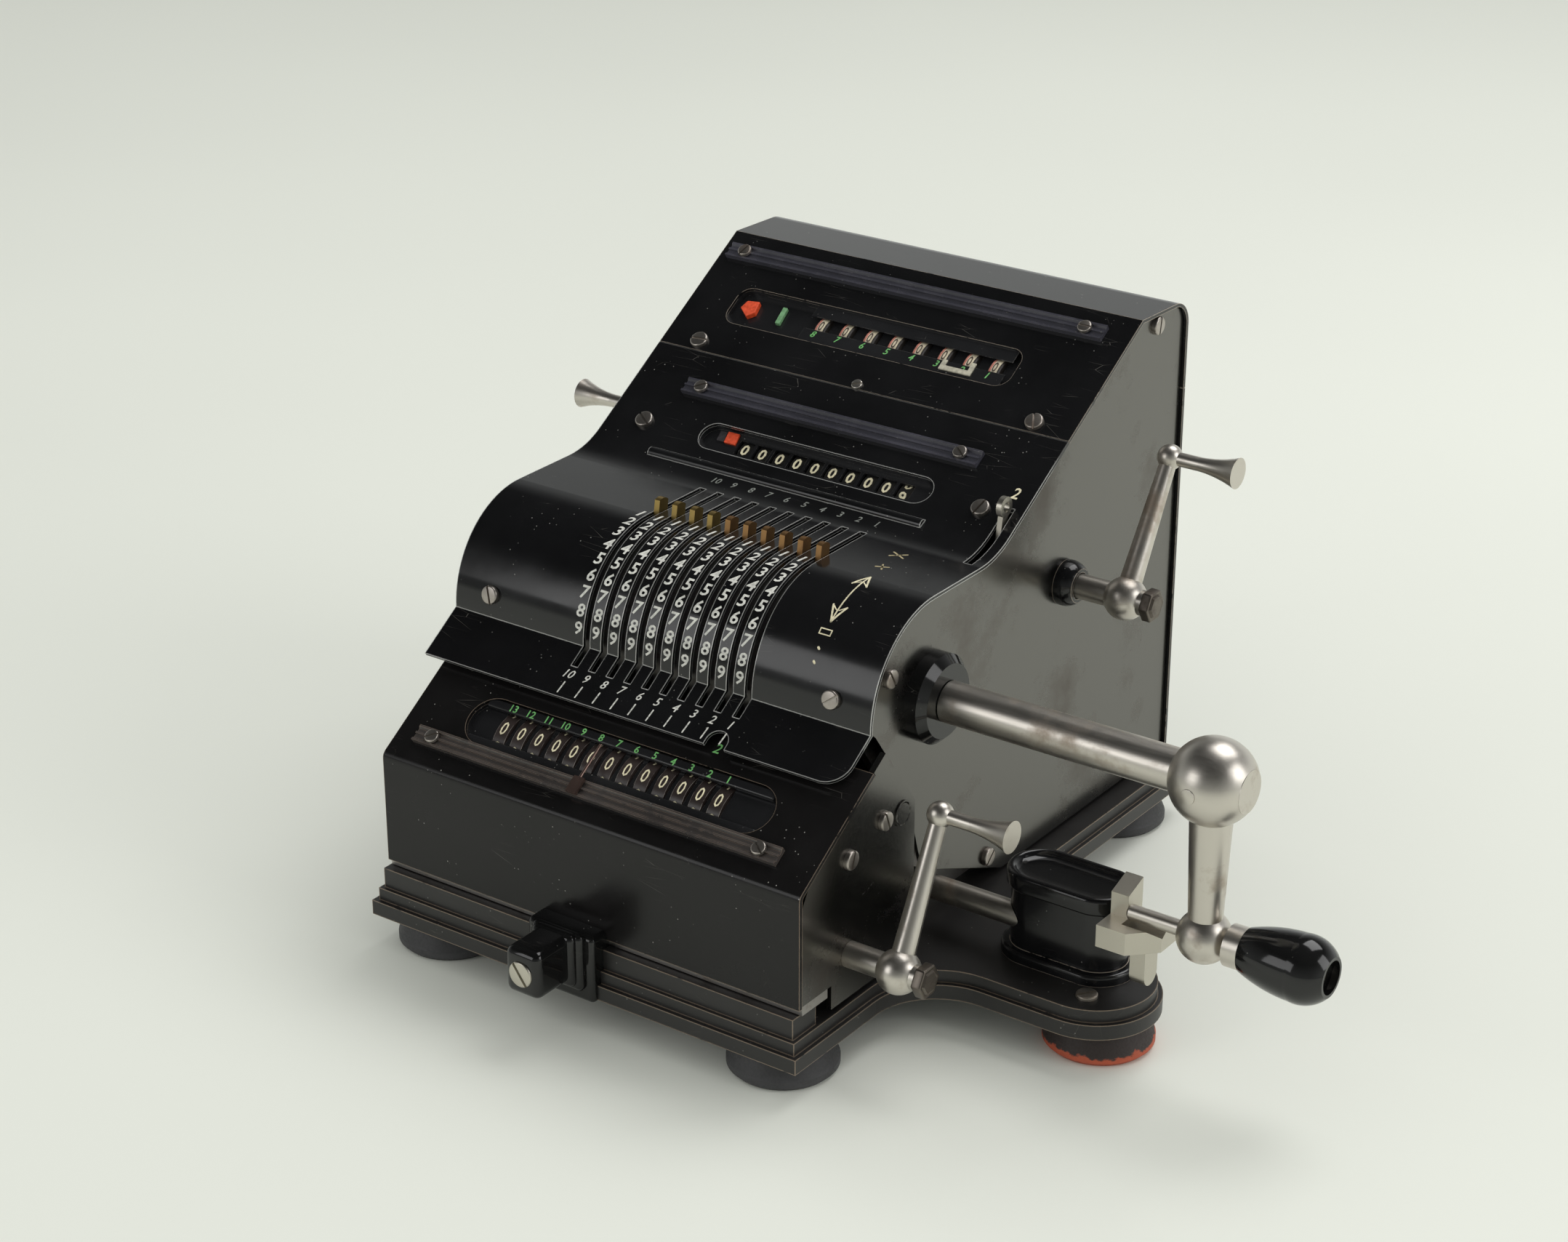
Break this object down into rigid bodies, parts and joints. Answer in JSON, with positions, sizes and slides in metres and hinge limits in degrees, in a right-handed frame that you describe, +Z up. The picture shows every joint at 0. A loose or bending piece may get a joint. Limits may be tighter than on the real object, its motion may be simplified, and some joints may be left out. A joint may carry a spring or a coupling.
{
  "type": "pinwheel calculator",
  "caption": "Hand-cranked pinwheel calculator: setting levers in a slotted curved cover, sliding result carriage, counter register, side crank with rest, and three small clearing cranks.",
  "frame": {"origin": "on the resting surface, below the middle of the whole machine's box", "axes": "+X to the crank's side, +Y to the back, +Z up"},
  "size_m": [0.3442, 0.2564, 0.1884],
  "materials": {
    "black_enamel": "gloss",
    "base_enamel": "satin",
    "nickel": "polished",
    "steel": "machined",
    "brass": "polished",
    "copper": "polished",
    "bakelite": "gloss",
    "rubber": "matte",
    "red_rubber": "matte",
    "rail_grey": "satin",
    "number_wheel": "satin",
    "counter_wheel": "satin"
  },
  "bodies": {
    "machine": {"base_plate": "base_enamel", "rubber_feet": "rubber", "lobe_foot": "red_rubber", "crank_rest_pedestal": "black_enamel", "pedestal_rod": "nickel", "crank_catch": "nickel", "frame_plates": "steel", "tie_rods": "steel", "side_panels": "black_enamel", "crank_bearing_boss": "black_enamel", "front_cover": "black_enamel", "upper_cover": "black_enamel", "rear_cover": "black_enamel", "setting_window_pan": "black_enamel", "counter_window_pan": "black_enamel", "register_axles": "steel", "setting_decimal_rail": "rail_grey", "counter_decimal_rail": "rail_grey", "cover_screws": "nickel"},
    "carriage": {"carriage_shell": "black_enamel", "result_window_pan": "black_enamel", "carriage_end_plates": "black_enamel", "carriage_slide_bar": "steel", "carriage_axles": "steel", "carriage_decimal_rail": "rail_grey", "carriage_screws": "nickel"},
    "crank": {"crank_shaft": "steel", "pinwheels": "steel", "crank_arm": "nickel"},
    "crank_pull": {"crank_spindle": "nickel"},
    "crank_grip": {"crank_handle": "bakelite"},
    "result_number_wheels": {"result_wheels": "number_wheel"},
    "result_transfer_gears": {"transfer_gears": "brass"},
    "counter_number_wheels": {"counter_wheels": "counter_wheel"},
    "counter_clearer": {"counter_clearing_crank": "nickel"},
    "setting_clearer": {"setting_clearing_crank": "nickel"},
    "result_clearer": {"result_clearing_crank": "nickel"},
    "pointer": {"decimal_pointer": "steel"},
    "selector": {"selector_lever": "nickel"},
    "shifter": {"shift_handle": "black_enamel"},
    "lever_1": {"setting_lever_1": "copper"},
    "dial_1": {"setting_dial_1": "number_wheel"},
    "lever_2": {"setting_lever_2": "copper"},
    "dial_2": {"setting_dial_2": "number_wheel"},
    "lever_3": {"setting_lever_3": "copper"},
    "dial_3": {"setting_dial_3": "number_wheel"},
    "lever_4": {"setting_lever_4": "copper"},
    "dial_4": {"setting_dial_4": "number_wheel"},
    "lever_5": {"setting_lever_5": "copper"},
    "dial_5": {"setting_dial_5": "number_wheel"},
    "lever_6": {"setting_lever_6": "copper"},
    "dial_6": {"setting_dial_6": "number_wheel"},
    "lever_7": {"setting_lever_7": "brass"},
    "dial_7": {"setting_dial_7": "number_wheel"},
    "lever_8": {"setting_lever_8": "brass"},
    "dial_8": {"setting_dial_8": "number_wheel"},
    "lever_9": {"setting_lever_9": "brass"},
    "dial_9": {"setting_dial_9": "number_wheel"},
    "lever_10": {"setting_lever_10": "brass"},
    "dial_10": {"setting_dial_10": "number_wheel"}
  },
  "joints": [
    {"name": "carriage_slide", "type": "slide", "parent": "machine", "child": "carriage", "axis": [1, 0, 0], "range_m": [-0.007, 0.042]},
    {"name": "crank_turn", "type": "hinge", "parent": "machine", "child": "crank", "pos_m": [0, -0.02425, 0.1015], "axis": [1, 0, 0], "continuous": true},
    {"name": "crank_pull_out", "type": "slide", "parent": "crank", "child": "crank_pull", "axis": [1, 0, 0], "range_m": [0, 0.006], "stiffness_N_per_m": 400},
    {"name": "grip_spin", "type": "hinge", "parent": "crank_pull", "child": "crank_grip", "pos_m": [0.1303, -0.02425, 0.0502], "axis": [1, 0, 0], "continuous": true},
    {"name": "result_wheels_turn", "type": "hinge", "parent": "carriage", "child": "result_number_wheels", "pos_m": [0, -0.07625, 0.06966], "axis": [1, 0, 0], "continuous": true},
    {"name": "transfer_gears_turn", "type": "hinge", "parent": "carriage", "child": "result_transfer_gears", "pos_m": [0, -0.05805, 0.07498], "axis": [1, 0, 0], "continuous": true},
    {"name": "counter_wheels_turn", "type": "hinge", "parent": "machine", "child": "counter_number_wheels", "pos_m": [0, 0.07543, 0.16446], "axis": [1, 0, 0], "continuous": true},
    {"name": "counter_clearing_turn", "type": "hinge", "parent": "machine", "child": "counter_clearer", "pos_m": [0, 0.05435, 0.1114], "axis": [1, 0, 0], "continuous": true},
    {"name": "setting_clearing_turn", "type": "hinge", "parent": "machine", "child": "setting_clearer", "pos_m": [0, 0.03875, 0.088], "axis": [1, 0, 0], "continuous": true},
    {"name": "result_clearing_turn", "type": "hinge", "parent": "carriage", "child": "result_clearer", "pos_m": [0, -0.07585, 0.0374], "axis": [1, 0, 0], "range_deg": [0, 110]},
    {"name": "pointer_slide", "type": "slide", "parent": "carriage", "child": "pointer", "axis": [1, 0, 0], "range_m": [-0.0534, 0.064]},
    {"name": "selector_swing", "type": "hinge", "parent": "machine", "child": "selector", "pos_m": [0, 0.01475, 0.105], "axis": [1, 0, 0], "range_deg": [0, 23]},
    {"name": "shift_handle_slide", "type": "slide", "parent": "machine", "child": "shifter", "axis": [1, 0, 0], "range_m": [-0.004, 0.004], "stiffness_N_per_m": 300},
    {"name": "lever_1_set", "type": "hinge", "parent": "crank", "child": "lever_1", "pos_m": [0, -0.02425, 0.1015], "axis": [1, 0, 0], "range_deg": [0, 90]},
    {"name": "dial_1_turn", "type": "hinge", "parent": "machine", "child": "dial_1", "pos_m": [0, 0.03141, 0.13377], "axis": [1, 0, 0], "range_deg": [0, 324]},
    {"name": "lever_2_set", "type": "hinge", "parent": "crank", "child": "lever_2", "pos_m": [0, -0.02425, 0.1015], "axis": [1, 0, 0], "range_deg": [0, 90]},
    {"name": "dial_2_turn", "type": "hinge", "parent": "machine", "child": "dial_2", "pos_m": [0, 0.03141, 0.13377], "axis": [1, 0, 0], "range_deg": [0, 324]},
    {"name": "lever_3_set", "type": "hinge", "parent": "crank", "child": "lever_3", "pos_m": [0, -0.02425, 0.1015], "axis": [1, 0, 0], "range_deg": [0, 90]},
    {"name": "dial_3_turn", "type": "hinge", "parent": "machine", "child": "dial_3", "pos_m": [0, 0.03141, 0.13377], "axis": [1, 0, 0], "range_deg": [0, 324]},
    {"name": "lever_4_set", "type": "hinge", "parent": "crank", "child": "lever_4", "pos_m": [0, -0.02425, 0.1015], "axis": [1, 0, 0], "range_deg": [0, 90]},
    {"name": "dial_4_turn", "type": "hinge", "parent": "machine", "child": "dial_4", "pos_m": [0, 0.03141, 0.13377], "axis": [1, 0, 0], "range_deg": [0, 324]},
    {"name": "lever_5_set", "type": "hinge", "parent": "crank", "child": "lever_5", "pos_m": [0, -0.02425, 0.1015], "axis": [1, 0, 0], "range_deg": [0, 90]},
    {"name": "dial_5_turn", "type": "hinge", "parent": "machine", "child": "dial_5", "pos_m": [0, 0.03141, 0.13377], "axis": [1, 0, 0], "range_deg": [0, 324]},
    {"name": "lever_6_set", "type": "hinge", "parent": "crank", "child": "lever_6", "pos_m": [0, -0.02425, 0.1015], "axis": [1, 0, 0], "range_deg": [0, 90]},
    {"name": "dial_6_turn", "type": "hinge", "parent": "machine", "child": "dial_6", "pos_m": [0, 0.03141, 0.13377], "axis": [1, 0, 0], "range_deg": [0, 324]},
    {"name": "lever_7_set", "type": "hinge", "parent": "crank", "child": "lever_7", "pos_m": [0, -0.02425, 0.1015], "axis": [1, 0, 0], "range_deg": [0, 90]},
    {"name": "dial_7_turn", "type": "hinge", "parent": "machine", "child": "dial_7", "pos_m": [0, 0.03141, 0.13377], "axis": [1, 0, 0], "range_deg": [0, 324]},
    {"name": "lever_8_set", "type": "hinge", "parent": "crank", "child": "lever_8", "pos_m": [0, -0.02425, 0.1015], "axis": [1, 0, 0], "range_deg": [0, 90]},
    {"name": "dial_8_turn", "type": "hinge", "parent": "machine", "child": "dial_8", "pos_m": [0, 0.03141, 0.13377], "axis": [1, 0, 0], "range_deg": [0, 324]},
    {"name": "lever_9_set", "type": "hinge", "parent": "crank", "child": "lever_9", "pos_m": [0, -0.02425, 0.1015], "axis": [1, 0, 0], "range_deg": [0, 90]},
    {"name": "dial_9_turn", "type": "hinge", "parent": "machine", "child": "dial_9", "pos_m": [0, 0.03141, 0.13377], "axis": [1, 0, 0], "range_deg": [0, 324]},
    {"name": "lever_10_set", "type": "hinge", "parent": "crank", "child": "lever_10", "pos_m": [0, -0.02425, 0.1015], "axis": [1, 0, 0], "range_deg": [0, 90]},
    {"name": "dial_10_turn", "type": "hinge", "parent": "machine", "child": "dial_10", "pos_m": [0, 0.03141, 0.13377], "axis": [1, 0, 0], "range_deg": [0, 324]}
  ],
  "couplings": [
    {"joint": "transfer_gears_turn", "follows": "result_wheels_turn", "ratio": -0.71429},
    {"joint": "dial_1_turn", "follows": "lever_1_set", "ratio": 3.6},
    {"joint": "dial_2_turn", "follows": "lever_2_set", "ratio": 3.6},
    {"joint": "dial_3_turn", "follows": "lever_3_set", "ratio": 3.6},
    {"joint": "dial_4_turn", "follows": "lever_4_set", "ratio": 3.6},
    {"joint": "dial_5_turn", "follows": "lever_5_set", "ratio": 3.6},
    {"joint": "dial_6_turn", "follows": "lever_6_set", "ratio": 3.6},
    {"joint": "dial_7_turn", "follows": "lever_7_set", "ratio": 3.6},
    {"joint": "dial_8_turn", "follows": "lever_8_set", "ratio": 3.6},
    {"joint": "dial_9_turn", "follows": "lever_9_set", "ratio": 3.6},
    {"joint": "dial_10_turn", "follows": "lever_10_set", "ratio": 3.6}
  ]
}
